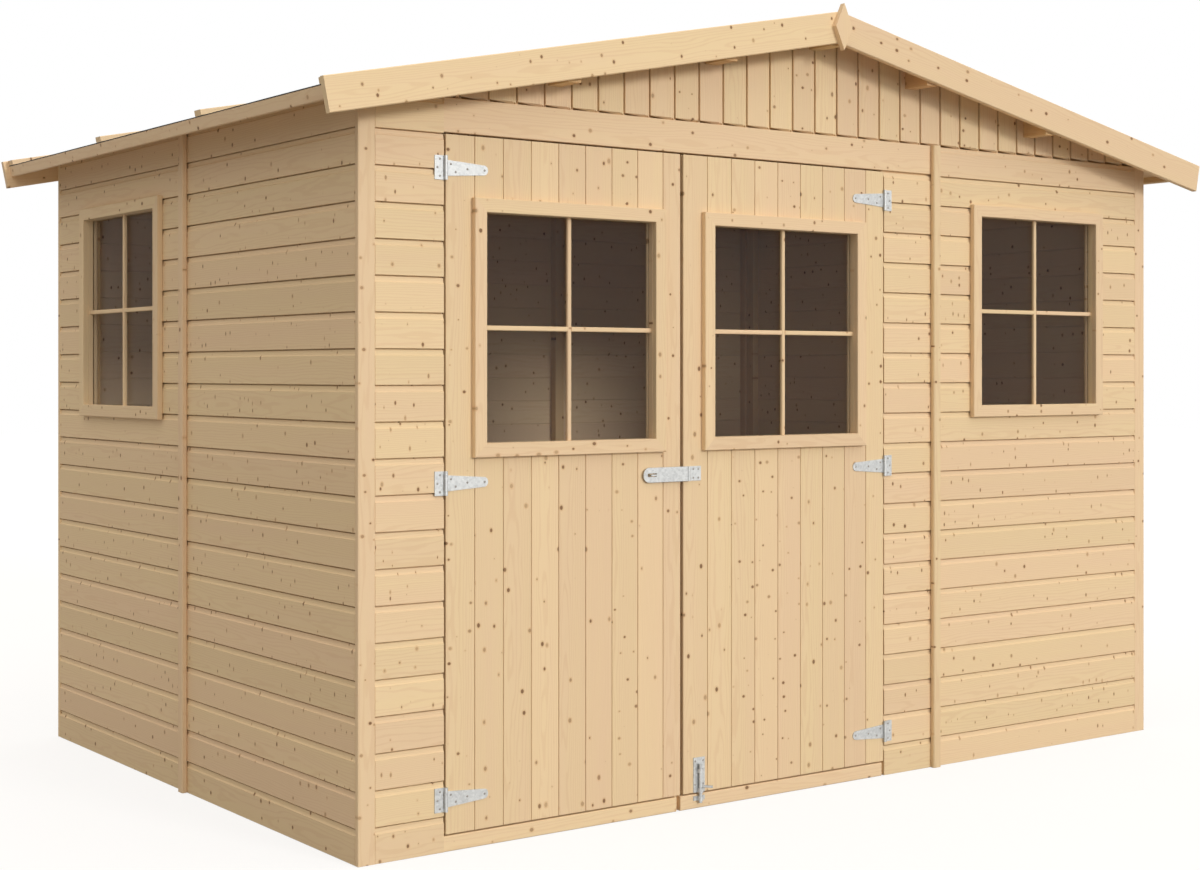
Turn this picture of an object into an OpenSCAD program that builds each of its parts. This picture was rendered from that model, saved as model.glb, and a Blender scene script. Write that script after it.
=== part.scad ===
// Wooden garden shed with a shallow gable roof and a pair of glazed, ledged doors.
// Millimetres. The origin is on the ground under the middle of the floor, +Z is up,
// and the doors face -Y.

/* [Walls] */
// Width of the shed over its front wall
wall_w = 3010; // [2800:10:3400]
// Depth of the shed over its side walls
wall_d = 2010; // [1800:10:2400]
// Height of the walls up to the roof boards
wall_h = 1890; // [1850:10:2100]
// Thickness of the wall, door and floor boards
board_t = 16; // [14:1:22]
// Width of the upright boards that close the corners
corner_w = 48; // [40:1:70]
// Width of the strips that cover the joints between wall panels
strip_w = 30; // [20:1:50]
// Thickness of the cover strips
strip_t = 16; // [8:1:20]
// Width of the wall panel that holds the front window
window_panel_w = 1010; // [900:10:1100]

/* [Frame] */
// Width of the frame timbers along the wall
stud_w = 40; // [30:1:60]
// Depth of the frame timbers into the room
stud_d = 30; // [20:1:50]
// Joint between neighbouring timbers of one frame
timber_joint = 0.4; // [0.2:0.1:1]

/* [Floor] */
// Height of the sills and of the floor's upper face
sill_h = 39; // [34:1:60]
// Width of a floor joist
joist_w = 60; // [40:1:90]
// Number of floor joists
joist_count = 5; // [3:2:7]

/* [Doors] */
// Distance from the left corner to the doorway
door_from_corner = 245; // [200:5:300]
// Distance from the doorway to the joint of the window panel
door_from_panel = 212; // [150:1:300]
// Height of the board over the doorway
header_h = 87; // [70:1:120]
// Share of the leaves' width that the left leaf takes
left_leaf_share = 0.49606; // [0.45:0.001:0.55]
// Gap between a leaf and the wall beside it, and over and under the leaf
leaf_gap = 5; // [4:0.5:8]
// Gap between the two leaves
meeting_gap = 11; // [8:1:16]
// Gap between the two sills
sill_gap = 14; // [8:1:20]
// Width of the ledges and braces behind the leaves
ledge_w = 90; // [60:1:110]
// Thickness of the ledges and braces
ledge_t = 20; // [14:1:26]
// Distance from the edges of a leaf to its ledges
ledge_inset = 50; // [45:1:90]

/* [Windows] */
// Width of the glazed opening
window_w = 545; // [400:5:580]
// Height of the glazed opening
window_h = 585; // [400:5:600]
// Width of the casing boards
casing_w = 36; // [25:1:40]
// Thickness of the casing boards
casing_t = 17; // [10:1:20]
// Thickness of the glass
glass_t = 4; // [3:0.5:6]
// Overlap of the glass behind the edge of the opening
glass_lap = 14; // [8:1:18]
// Distance from the head of a wall down to the casing of its window
wall_window_drop = 170.5; // [120:0.5:220]
// Distance from the head of the doorway down to the casing of a door window
door_window_drop = 160.5; // [140:0.5:200]
// Shift of a wall window from the middle of its panel away from the corner
wall_window_shift = 36; // [0:1:50]
// Shift of a door window from the middle of its leaf towards the other leaf
door_window_shift = 9; // [0:1:20]

/* [Roof] */
// Slope of the roof in degrees
roof_pitch = 11.4; // [9:0.1:16]
// Thickness of the roof boards
deck_t = 16; // [14:1:22]
// Thickness of the roofing felt
felt_t = 2; // [1:0.5:4]
// Reach of the roof boards past the front and rear walls
gable_overhang = 90; // [70:1:140]
// Reach of the roof boards past the side walls
eave_overhang = 114; // [90:1:150]
// Width of the bargeboards
barge_w = 88; // [80:1:100]
// Thickness of the bargeboards
barge_t = 18; // [14:1:24]
// Reach of the bargeboards past the eaves strips
barge_reach = 17; // [5:1:30]
// Height of the strips along the eaves
fascia_h = 35; // [28:1:50]
// Thickness of the strips along the eaves
fascia_t = 16; // [12:1:22]
// Width of the battens that hold the felt
batten_w = 38; // [25:1:50]
// Thickness of the battens
batten_t = 16; // [10:1:22]
// Number of battens on each slope
batten_count = 4; // [3:1:6]
// Spacing of the front battens, as a share of an even spacing
batten_share = 0.97; // [0.8:0.01:1]
// Width of a purlin
purlin_w = 40; // [30:1:60]
// Height of a purlin
purlin_h = 58; // [45:1:75]
// Distance from the ridge to the inner purlins
inner_purlin_x = 391; // [300:1:500]
// Distance from the ridge to the outer purlins
outer_purlin_x = 921; // [800:1:1050]
// Height of the diamond at the top of a gable
finial_h = 133; // [100:1:180]
// Width of the diamond
finial_w = 64; // [50:1:90]
// Thickness of the diamond
finial_t = 16; // [10:1:22]
// Distance from the top of the gable down to the middle of the diamond
finial_drop = 46; // [20:1:70]

/* [Hinges] */
// Height of the lowest hinge
low_hinge_z = 132; // [110:1:200]
// Distance from the casing of a door window down to the middle hinge and the hasp
mid_hinge_drop = 62.5; // [60:0.5:100]
// Distance from the head of the doorway down to the highest hinge
high_hinge_drop = 90; // [70:1:100]
// Thickness of the hinge, hasp and bolt plates
metal_t = 2.5; // [1.5:0.1:3]
// Height of the hinge's wall plate and barrel
hinge_h = 61; // [50:1:80]
// Width of the wall plate, from the pin
hinge_plate_w = 31; // [24:1:45]
// Length of the strap on the leaf, from the pin
hinge_strap_l = 128; // [100:1:180]
// Height of the strap at its barrel
strap_root_h = 41; // [30:1:46]
// Height of the strap at its rounded end
strap_tip_h = 25; // [16:1:28]
// Diameter of the hinge barrel
barrel_d = 10; // [8:0.5:11]
// Diameter of the hinge pin
pin_d = 5; // [4:0.5:6]
// Distance from the wall's face out to the middle of the pin
pin_out = 6; // [5.5:0.5:9]
// Running clearance round a pin and between barrels
pin_clear = 0.2; // [0.1:0.05:0.4]

/* [Hasp] */
// Distance from the edge of the right leaf to the hasp's pin
hasp_pin_in = 14; // [12:1:24]
// Distance from the leaf's face out to the middle of the hasp's pin
hasp_pin_out = 7.5; // [7:0.5:10]
// Height of the hasp's strap and plate
hasp_h = 40; // [30:1:50]
// Length of the hasp's strap, from the pin
hasp_l = 158; // [130:1:180]
// Width of the hasp's plate, from the pin
hasp_plate_w = 47; // [36:1:60]
// Diameter of the hasp's barrel
hasp_barrel_d = 9; // [8:0.5:10]
// Diameter of the hasp's pin
hasp_pin_d = 4; // [3:0.5:5]
// Length of the slot in the strap
slot_l = 31; // [26:1:36]
// Height of the slot in the strap
slot_h = 9; // [7:0.5:12]
// Distance from the rounded end of the strap to the middle of the slot
slot_from_tip = 30; // [26:1:40]
// Length of the staple's loop
staple_l = 20; // [14:1:22]
// Diameter of the staple's wire
staple_d = 4; // [3:0.5:5]
// Reach of the staple past the strap
staple_reach = 8; // [6:1:14]

/* [Bolt] */
// Distance from the edge of the right leaf to the middle of the bolt
bolt_in = 55; // [35:1:70]
// Width of the bolt's plate
bolt_plate_w = 40; // [30:1:50]
// Height of the bolt's plate
bolt_plate_h = 96; // [80:1:130]
// Diameter of the bolt's rod
rod_d = 10; // [8:0.5:12]
// Wall of the loops that guide the rod
loop_t = 2.5; // [2:0.5:4]
// Height of each loop
loop_h = 12; // [8:1:16]
// Clearance round the rod in its loops
rod_clear = 0.5; // [0.3:0.1:0.8]
// Travel of the rod
rod_travel = 30; // [20:1:34]
// Reach of the lowered rod below the leaf
rod_drop = 28; // [24:1:32]
// Height of the handle over the foot of the plate when the rod is down
handle_up = 17; // [16:1:20]
// Length of the handle, from the rod
handle_l = 34; // [26:1:45]
// Diameter of the handle
handle_d = 7; // [5:0.5:8]

/* [Hidden] */
$fn = 48;

// Overrun of a cut past the faces that it opens
cut_over = 10;
// Share of the barrel's height that a wall plate's upper or lower barrel takes
plate_barrel_share = (1 - strap_root_h / hinge_h) / 2;
// Share of the hasp's height that its strap's barrel takes
hasp_barrel_share = 0.5;

left_x = -wall_w / 2;
right_x = wall_w / 2;
front_y = -wall_d / 2;
rear_y = wall_d / 2;
inner_left_x = left_x + board_t;
inner_right_x = right_x - board_t;
inner_front_y = front_y + board_t;
inner_rear_y = rear_y - board_t;
panel_joint_x = right_x - window_panel_w;

door_left_x = left_x + door_from_corner;
door_right_x = panel_joint_x - door_from_panel;
door_top = wall_h - header_h;
left_leaf_w = left_leaf_share * (door_right_x - door_left_x - 2 * leaf_gap - meeting_gap);
left_leaf_x = [door_left_x + leaf_gap, door_left_x + leaf_gap + left_leaf_w];
right_leaf_x = [left_leaf_x[1] + meeting_gap, door_right_x - leaf_gap];
leaf_z = [sill_h + leaf_gap, door_top - leaf_gap];
left_pin_x = door_left_x + leaf_gap / 2;
right_pin_x = door_right_x - leaf_gap / 2;
pin_y = front_y - pin_out;
left_window_x = (left_leaf_x[0] + left_leaf_x[1]) / 2 + door_window_shift;
right_window_x = (right_leaf_x[0] + right_leaf_x[1]) / 2 - door_window_shift;
front_window_x = right_x - window_panel_w / 2 - wall_window_shift;
side_window_y = rear_y - wall_d / 4 - wall_window_shift;
wall_window_z = wall_h - wall_window_drop - casing_w - window_h / 2;
door_window_z = door_top - door_window_drop - casing_w - window_h / 2;
sill_meeting_x = (left_leaf_x[1] + right_leaf_x[0]) / 2 - meeting_gap;

// Places of the hinges, and of the door ledges behind them
high_hinge_z = door_top - high_hinge_drop;
mid_hinge_z = door_window_z - window_h / 2 - casing_w - mid_hinge_drop;
hinge_heights = [low_hinge_z, mid_hinge_z, high_hinge_z];
hasp_z = mid_hinge_z;

ridge_z = wall_h + wall_w / 2 * tan(roof_pitch);
// Hairline between the sloping roof boards and the pieces that they meet
roof_seat = timber_joint / 20;
felt_top = deck_t + felt_t;
cover_top = felt_top + batten_t;
deck_end = (wall_w / 2 + eave_overhang) / cos(roof_pitch);
fascia_end = deck_end + fascia_t;
barge_end = fascia_end + barge_reach;
gable_top_z = ridge_z + roof_seat + cover_top / cos(roof_pitch);
deck_front_y = front_y - gable_overhang;
deck_rear_y = rear_y + gable_overhang;

hasp_pin_x = right_leaf_x[0] + hasp_pin_in;
hasp_pin_y = front_y - hasp_pin_out;
slot_x = hasp_pin_x - hasp_l + slot_from_tip;
strap_face_y = hasp_pin_y - metal_t / 2;
bolt_x = right_leaf_x[0] + bolt_in;
loop_d = rod_d + 2 * rod_clear + 2 * loop_t;
rod_y = front_y - metal_t - rod_clear - rod_d / 2;
bolt_foot_z = leaf_z[0];
handle_z = bolt_foot_z + handle_up;
upper_loop_z = handle_z + rod_travel + handle_d;
rod_top_z = upper_loop_z + 2 * loop_h;

timber = "#e3c48e";
frame_timber = "#d8b478";
metal = "#d5d7d8";
felt = "#3a3b3d";
glass = "#5c6a70";

// A box between two opposite corners
module block(low, high) {
    translate(low)
        cube(high - low);
}

// The hole for a window, through boards that start at the local face y = 0
module window_hole() {
    translate([-window_w / 2, -cut_over, -window_h / 2])
        cube([window_w, board_t + 2 * cut_over, window_h]);
}

// One casing board, mitred at both ends: length of its inner edge, on the local face y = 0
module casing_board(inner) {
    rotate([90, 0, 0])
        linear_extrude(casing_t)
            polygon([
                [-inner / 2 + timber_joint, 0],
                [inner / 2 - timber_joint, 0],
                [inner / 2 + casing_w - timber_joint, casing_w],
                [-inner / 2 - casing_w + timber_joint, casing_w]]);
}

// Four mitred casing boards round a window opening
module casing() {
    for (side = [0, 1]) {
        rotate([0, side * 180, 0])
            translate([0, 0, window_h / 2])
                casing_board(window_w);
        rotate([0, 90 + side * 180, 0])
            translate([0, 0, window_w / 2])
                casing_board(window_h);
    }
}

// A sheet of glass against the inner face of the boards
module glass_sheet() {
    translate([-window_w / 2 - glass_lap, board_t, -window_h / 2 - glass_lap])
        cube([window_w + 2 * glass_lap, glass_t, window_h + 2 * glass_lap]);
}

// Places a shape drawn for the front wall at a point of it
module on_front(x, z) {
    translate([x, front_y, z])
        children();
}

// Places a shape drawn for the front wall on the left wall
module on_left(y, z) {
    translate([left_x, y, z])
        rotate([0, 0, -90])
            children();
}

// A point of the roof: distance down the slope from the ridge, height over the roof boards' underside
function roof_point(side, down, up) = [
    side * (down * cos(roof_pitch) + up * sin(roof_pitch)),
    ridge_z + roof_seat - down * sin(roof_pitch) + up * cos(roof_pitch)];

// A layer of one roof slope that is mitred at the ridge and cut square at its end
function slope_layer(side, low, high, end) = [
    roof_point(side, -low * tan(roof_pitch), low),
    roof_point(side, -high * tan(roof_pitch), high),
    roof_point(side, end, high),
    roof_point(side, end, low)];

// Extrudes an outline of X and Z from one Y to another
module along_y(from_y, to_y) {
    translate([0, to_y, 0])
        rotate([90, 0, 0])
            linear_extrude(to_y - from_y)
                children();
}

// Outline of a purlin under one slope, its top on the roof boards
module purlin_outline(x, side) {
    roof_z = ridge_z - x * tan(roof_pitch);
    rise = purlin_w / 2 * tan(roof_pitch);
    polygon([
        [side * (x - purlin_w / 2), roof_z + rise],
        [side * (x + purlin_w / 2), roof_z - rise],
        [side * (x + purlin_w / 2), roof_z - rise - purlin_h],
        [side * (x - purlin_w / 2), roof_z - rise - purlin_h]]);
}

// Outline of the ridge purlin, which fits under both slopes
module ridge_purlin_outline() {
    drop = purlin_w / 2 * tan(roof_pitch);
    polygon([
        [0, ridge_z],
        [purlin_w / 2, ridge_z - drop],
        [purlin_w / 2, ridge_z - drop - purlin_h],
        [-purlin_w / 2, ridge_z - drop - purlin_h],
        [-purlin_w / 2, ridge_z - drop]]);
}

module purlin_outlines() {
    ridge_purlin_outline();
    for (side = [-1, 1]) {
        purlin_outline(inner_purlin_x, side);
        purlin_outline(outer_purlin_x, side);
    }
}

module floor_joists() {
    color(frame_timber)
        for (i = [0:joist_count - 1])
            translate([0, (inner_front_y + joist_w / 2) + i * (inner_rear_y - inner_front_y - joist_w)
                    / (joist_count - 1), 0])
                block([inner_left_x, -joist_w / 2, 0],
                    [inner_right_x, joist_w / 2, sill_h - board_t]);
}

module floor_boards() {
    color(timber)
        block([inner_left_x, inner_front_y, sill_h - board_t], [inner_right_x, inner_rear_y, sill_h]);
}

module door_sills() {
    color(timber) {
        block([door_left_x, front_y, 0], [sill_meeting_x - sill_gap / 2, inner_front_y, sill_h]);
        block([sill_meeting_x + sill_gap / 2, front_y, 0],
            [door_right_x - meeting_gap, inner_front_y, sill_h]);
    }
}

module front_left_wall() {
    color(timber)
        block([left_x + corner_w, front_y, 0], [door_left_x, inner_front_y, wall_h]);
}

module front_right_wall() {
    color(timber)
        block([door_right_x, front_y, 0], [panel_joint_x, inner_front_y, door_top]);
}

module front_window_wall() {
    color(timber)
        difference() {
            block([panel_joint_x, front_y, 0], [right_x - corner_w, inner_front_y, wall_h]);
            on_front(front_window_x, wall_window_z)
                window_hole();
        }
}

module door_header() {
    color(timber)
        block([door_left_x, front_y, door_top], [panel_joint_x, inner_front_y, wall_h]);
}

// Gable boards between two faces, notched round the purlins
module gable(from_y, to_y) {
    color(timber)
        along_y(from_y, to_y)
            difference() {
                polygon([[left_x, wall_h], [right_x, wall_h], [0, ridge_z]]);
                purlin_outlines();
            }
}

module front_gable() {
    gable(front_y, inner_front_y);
}

module rear_gable() {
    gable(inner_rear_y, rear_y);
}

module left_wall() {
    color(timber)
        difference() {
            block([left_x, inner_front_y, 0], [inner_left_x, inner_rear_y, wall_h]);
            on_left(side_window_y, wall_window_z)
                window_hole();
        }
}

module right_wall() {
    color(timber)
        block([inner_right_x, inner_front_y, 0], [right_x, inner_rear_y, wall_h]);
}

module rear_wall() {
    color(timber)
        block([left_x + corner_w, inner_rear_y, 0], [right_x - corner_w, rear_y, wall_h]);
}

module corner_boards() {
    color(timber)
        for (x = [left_x, right_x - corner_w], y = [front_y, inner_rear_y])
            block([x, y, 0], [x + corner_w, y + board_t, wall_h]);
}

// Strips over the joints between panels: one in front, one on each side and two behind
module cover_strips() {
    side_h = wall_h - strip_t * tan(roof_pitch);
    color(timber) {
        block([panel_joint_x - strip_w / 2, front_y - strip_t, 0],
            [panel_joint_x + strip_w / 2, front_y, wall_h]);
        block([left_x - strip_t, -strip_w / 2, 0], [left_x, strip_w / 2, side_h]);
        block([right_x, -strip_w / 2, 0], [right_x + strip_t, strip_w / 2, side_h]);
        for (side = [-1, 1])
            translate([side * panel_joint_x, 0, 0])
                block([-strip_w / 2, rear_y, 0], [strip_w / 2, rear_y + strip_t, wall_h]);
    }
}

// Frame of one wall, drawn from x0 to x1 with y = 0 on the boards: studs under a top rail
module wall_frame(x0, x1, stud_places) {
    top_z = wall_h - stud_w;
    block([x0, 0, top_z], [x1, stud_d, wall_h]);
    for (x = stud_places)
        block([x - stud_w / 2, 0, sill_h], [x + stud_w / 2, stud_d, top_z - timber_joint]);
}

// Short rails over and under a window, between the studs on each side of it
module window_rails(x) {
    half = window_w / 2 + glass_lap + timber_joint;
    for (side = [-1, 1]) {
        z = wall_window_z + side * (window_h / 2 + glass_lap + timber_joint + stud_w / 2);
        block([x - half, 0, z - stud_w / 2], [x + half, stud_d, z + stud_w / 2]);
    }
}

// Places of the studs beside a window
function window_studs(x) = [for (side = [-1, 1])
    x + side * (window_w / 2 + glass_lap + 2 * timber_joint + stud_w / 2)];

module front_frame() {
    color(frame_timber)
        translate([0, inner_front_y, 0]) {
            wall_frame(inner_left_x, inner_right_x, concat(
                [inner_left_x + stud_w / 2, door_left_x - stud_w / 2, door_right_x + stud_w / 2,
                    panel_joint_x, inner_right_x - stud_w / 2],
                window_studs(front_window_x)));
            window_rails(front_window_x);
        }
}

module rear_frame() {
    color(frame_timber)
        translate([0, inner_rear_y - stud_d, 0])
            wall_frame(inner_left_x, inner_right_x,
                [inner_left_x + stud_w / 2, -panel_joint_x, panel_joint_x,
                    inner_right_x - stud_w / 2]);
}

// Ends of the side frames, which stand between the front and rear frames
side_frame_y = [inner_front_y + stud_d + timber_joint, inner_rear_y - stud_d - timber_joint];

module left_frame() {
    color(frame_timber)
        translate([inner_left_x, 0, 0])
            rotate([0, 0, -90]) {
                wall_frame(side_frame_y[0], side_frame_y[1], concat(
                    [side_frame_y[0] + stud_w / 2, 0, side_frame_y[1] - stud_w / 2],
                    window_studs(-side_window_y)));
                window_rails(-side_window_y);
            }
}

module right_frame() {
    color(frame_timber)
        translate([inner_right_x, 0, 0])
            rotate([0, 0, 90])
                wall_frame(side_frame_y[0], side_frame_y[1],
                    [side_frame_y[0] + stud_w / 2, 0, side_frame_y[1] - stud_w / 2]);
}

module purlins() {
    color(frame_timber)
        along_y(deck_front_y, deck_rear_y)
            purlin_outlines();
}

module roof_deck(side) {
    color(timber)
        along_y(deck_front_y, deck_rear_y)
            polygon(slope_layer(side, 0, deck_t, deck_end));
}

module left_roof_deck() {
    roof_deck(-1);
}

module right_roof_deck() {
    roof_deck(1);
}

// One sheet of felt over both slopes
module roof_felt() {
    left = slope_layer(-1, deck_t, felt_top, fascia_end);
    right = slope_layer(1, deck_t, felt_top, fascia_end);
    color(felt)
        along_y(deck_front_y, deck_rear_y)
            polygon([left[3], left[2], left[1], right[2], right[3], right[0]]);
}

// Battens up one slope, from the front bargeboard to the rear one
module roof_battens(side) {
    last = deck_rear_y - batten_w;
    step = batten_share * (last - deck_front_y) / (batten_count - 1);
    color(timber)
        for (i = [0:batten_count - 1]) {
            front = i < batten_count - 1 ? deck_front_y + i * step : last;
            along_y(front, front + batten_w)
                polygon(slope_layer(side, felt_top, cover_top, fascia_end));
        }
}

module left_roof_battens() {
    roof_battens(-1);
}

module right_roof_battens() {
    roof_battens(1);
}

// Strips along the eaves, on the cut ends of the roof boards
module eave_strips() {
    color(timber)
        along_y(deck_front_y, deck_rear_y)
            for (side = [-1, 1])
                polygon([
                    roof_point(side, deck_end + roof_seat, deck_t),
                    roof_point(side, fascia_end, deck_t),
                    roof_point(side, fascia_end, deck_t - fascia_h),
                    roof_point(side, deck_end + roof_seat, deck_t - fascia_h)]);
}

module bargeboard(side, from_y, to_y) {
    color(timber)
        along_y(from_y, to_y)
            polygon(slope_layer(side, cover_top - barge_w, cover_top, barge_end));
}

module front_left_bargeboard() {
    bargeboard(-1, deck_front_y - barge_t, deck_front_y);
}

module front_right_bargeboard() {
    bargeboard(1, deck_front_y - barge_t, deck_front_y);
}

module rear_left_bargeboard() {
    bargeboard(-1, deck_rear_y, deck_rear_y + barge_t);
}

module rear_right_bargeboard() {
    bargeboard(1, deck_rear_y, deck_rear_y + barge_t);
}

// Diamonds over the joint of each pair of bargeboards
module finials() {
    front_face = deck_front_y - barge_t;
    rear_face = deck_rear_y + barge_t;
    color(timber)
        for (y = [front_face - finial_t, rear_face])
            along_y(y, y + finial_t)
                translate([0, gable_top_z - finial_drop])
                    polygon([[0, finial_h / 2], [finial_w / 2, 0], [0, -finial_h / 2],
                        [-finial_w / 2, 0]]);
}

module wall_window_casings() {
    color(timber) {
        on_front(front_window_x, wall_window_z)
            casing();
        on_left(side_window_y, wall_window_z)
            casing();
    }
}

module wall_window_glass() {
    color(glass, 0.5) {
        on_front(front_window_x, wall_window_z)
            glass_sheet();
        on_left(side_window_y, wall_window_z)
            glass_sheet();
    }
}

// Wall plate of a tee hinge with its pin, drawn about the pin: side 1 has the plate to the left
module hinge_plate(side) {
    end_h = hinge_h * plate_barrel_share - pin_clear;
    color(metal) {
        translate([side > 0 ? -hinge_plate_w : barrel_d / 2, pin_out - metal_t, -hinge_h / 2])
            cube([hinge_plate_w - barrel_d / 2, metal_t, hinge_h]);
        for (z = [-hinge_h / 2, hinge_h / 2 - end_h]) {
            translate([0, 0, z])
                cylinder(d = barrel_d, h = end_h);
            translate([side > 0 ? -barrel_d / 2 : 0, 0, z])
                cube([barrel_d / 2, pin_out, end_h]);
        }
        translate([0, 0, -hinge_h / 2])
            cylinder(d = pin_d, h = hinge_h);
    }
}

// Strap of a tee hinge, drawn about the pin: side 1 has the strap to the right
module hinge_strap(side) {
    color(metal)
        difference() {
            union() {
                translate([0, pin_out, 0])
                    rotate([90, 0, 0])
                        linear_extrude(metal_t) {
                            tip_x = hinge_strap_l - strap_tip_h / 2;
                            polygon([
                                [side * pin_clear, -strap_root_h / 2],
                                [side * tip_x, -strap_tip_h / 2],
                                [side * tip_x, strap_tip_h / 2],
                                [side * pin_clear, strap_root_h / 2]]);
                            translate([side * tip_x, 0])
                                circle(d = strap_tip_h);
                        }
                translate([0, 0, -strap_root_h / 2])
                    cylinder(d = barrel_d, h = strap_root_h);
                translate([side > 0 ? 0 : -barrel_d / 2, 0, -strap_root_h / 2])
                    cube([barrel_d / 2, pin_out, strap_root_h]);
            }
            translate([0, 0, -strap_root_h / 2 - cut_over])
                cylinder(d = pin_d + 2 * pin_clear, h = strap_root_h + 2 * cut_over);
        }
}

module hinge_plates() {
    for (z = hinge_heights) {
        translate([left_pin_x, pin_y, z])
            hinge_plate(1);
        translate([right_pin_x, pin_y, z])
            hinge_plate(-1);
    }
}

module left_hinge_straps() {
    for (z = hinge_heights)
        translate([left_pin_x, pin_y, z])
            hinge_strap(1);
}

module right_hinge_straps() {
    for (z = hinge_heights)
        translate([right_pin_x, pin_y, z])
            hinge_strap(-1);
}

// Boards of one leaf, cut through for its window
module leaf_boards(x, window_x) {
    color(timber)
        difference() {
            block([x[0], front_y, leaf_z[0]], [x[1], inner_front_y, leaf_z[1]]);
            on_front(window_x, door_window_z)
                window_hole();
        }
}

// Ledges behind a leaf at the heights of its hinges, and the brace between the lower two
module leaf_ledges(x, hinge_side) {
    low = [x[0] + ledge_inset, inner_front_y];
    high = [x[1] - ledge_inset, inner_front_y + ledge_t];
    foot_z = low_hinge_z + ledge_w / 2 + timber_joint;
    head_z = mid_hinge_z - ledge_w / 2 - timber_joint;
    foot_x = hinge_side < 0 ? low[0] : high[0] - ledge_w;
    head_x = hinge_side < 0 ? high[0] - ledge_w : low[0];
    color(frame_timber) {
        for (z = hinge_heights)
            block([low[0], low[1], z - ledge_w / 2], [high[0], high[1], z + ledge_w / 2]);
        along_y(low[1], high[1])
            polygon([[foot_x, foot_z], [foot_x + ledge_w, foot_z], [head_x + ledge_w, head_z],
                [head_x, head_z]]);
    }
}

module left_door_boards() {
    leaf_boards(left_leaf_x, left_window_x);
}

module left_door_ledges() {
    leaf_ledges(left_leaf_x, -1);
}

module left_door_casing() {
    color(timber)
        on_front(left_window_x, door_window_z)
            casing();
}

module left_door_glass() {
    color(glass, 0.5)
        on_front(left_window_x, door_window_z)
            glass_sheet();
}

module right_door_boards() {
    leaf_boards(right_leaf_x, right_window_x);
}

module right_door_ledges() {
    leaf_ledges(right_leaf_x, 1);
}

module right_door_casing() {
    color(timber)
        on_front(right_window_x, door_window_z)
            casing();
}

module right_door_glass() {
    color(glass, 0.5)
        on_front(right_window_x, door_window_z)
            glass_sheet();
}

// Plate of the hasp on the right leaf, with the barrels above and below the strap's
module hasp_plate() {
    end_h = hasp_h * (1 - hasp_barrel_share) / 2 - pin_clear;
    color(metal)
        translate([hasp_pin_x, hasp_pin_y, hasp_z]) {
            translate([hasp_barrel_d / 2, hasp_pin_out - metal_t, -hasp_h / 2])
                cube([hasp_plate_w - hasp_barrel_d / 2, metal_t, hasp_h]);
            for (z = [-hasp_h / 2, hasp_h / 2 - end_h]) {
                translate([0, 0, z])
                    cylinder(d = hasp_barrel_d, h = end_h);
                translate([0, 0, z])
                    cube([hasp_barrel_d / 2, hasp_pin_out, end_h]);
            }
            translate([0, 0, -hasp_h / 2])
                cylinder(d = hasp_pin_d, h = hasp_h);
        }
}

// Slotted strap of the hasp, which swings on the plate's pin
module hasp_strap() {
    barrel_h = hasp_h * hasp_barrel_share;
    tip_x = -hasp_l + hasp_h / 2;
    neck_x = -hasp_barrel_d / 2 - pin_clear;
    color(metal)
        translate([hasp_pin_x, hasp_pin_y, hasp_z])
            difference() {
                union() {
                    translate([0, metal_t / 2, 0])
                        rotate([90, 0, 0])
                            linear_extrude(metal_t) {
                                translate([tip_x, -hasp_h / 2])
                                    square([neck_x - tip_x, hasp_h]);
                                translate([tip_x, 0])
                                    circle(d = hasp_h);
                                translate([neck_x, -barrel_h / 2])
                                    square([-neck_x, barrel_h]);
                            }
                    translate([0, 0, -barrel_h / 2])
                        cylinder(d = hasp_barrel_d, h = barrel_h);
                }
                translate([0, 0, -hasp_h])
                    cylinder(d = hasp_pin_d + 2 * pin_clear, h = 2 * hasp_h);
                translate([slot_x - hasp_pin_x - slot_l / 2, -metal_t, -slot_h / 2])
                    cube([slot_l, 2 * metal_t, slot_h]);
            }
}

// Wire loop on the left leaf that stands through the slot of the hasp
module hasp_staple() {
    reach = front_y - strap_face_y + staple_reach;
    color(metal)
        translate([slot_x, front_y, hasp_z]) {
            for (side = [-1, 1])
                translate([side * (staple_l - staple_d) / 2, 0, 0])
                    rotate([90, 0, 0])
                        cylinder(d = staple_d, h = reach);
            translate([-staple_l / 2, -reach, -staple_d / 2])
                cube([staple_l, staple_d, staple_d]);
        }
}

// Loop that guides the bolt's rod, drawn about the rod with its foot at z = 0
module rod_loop() {
    difference() {
        union() {
            cylinder(d = loop_d, h = loop_h);
            translate([-loop_d / 2, 0, 0])
                cube([loop_d, front_y - rod_y - metal_t / 2, loop_h]);
        }
        translate([0, 0, -cut_over])
            cylinder(d = rod_d + 2 * rod_clear, h = loop_h + 2 * cut_over);
    }
}

// Plate of the barrel bolt at the foot of the right leaf, with a loop at each end
module bolt_plate() {
    color(metal) {
        block([bolt_x - bolt_plate_w / 2, front_y - metal_t, bolt_foot_z],
            [bolt_x + bolt_plate_w / 2, front_y, bolt_foot_z + bolt_plate_h]);
        for (z = [bolt_foot_z, upper_loop_z])
            translate([bolt_x, rod_y, z])
                rod_loop();
    }
}

// Rod of the barrel bolt in its lowered place, with the handle that lifts it
module bolt_rod() {
    color(metal)
        translate([bolt_x, rod_y, 0]) {
            translate([0, 0, bolt_foot_z - rod_drop])
                cylinder(d = rod_d, h = rod_top_z - bolt_foot_z + rod_drop);
            translate([0, 0, handle_z])
                rotate([90, 0, 45])
                    cylinder(d = handle_d, h = handle_l);
        }
}

// Keeper on the right sill that the lowered rod drops into
module bolt_keeper() {
    keeper_z = sill_h - leaf_gap - loop_h;
    color(metal) {
        block([bolt_x - bolt_plate_w / 2, front_y - metal_t, keeper_z],
            [bolt_x + bolt_plate_w / 2, front_y, keeper_z + loop_h]);
        translate([bolt_x, rod_y, keeper_z])
            rod_loop();
    }
}

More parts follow.
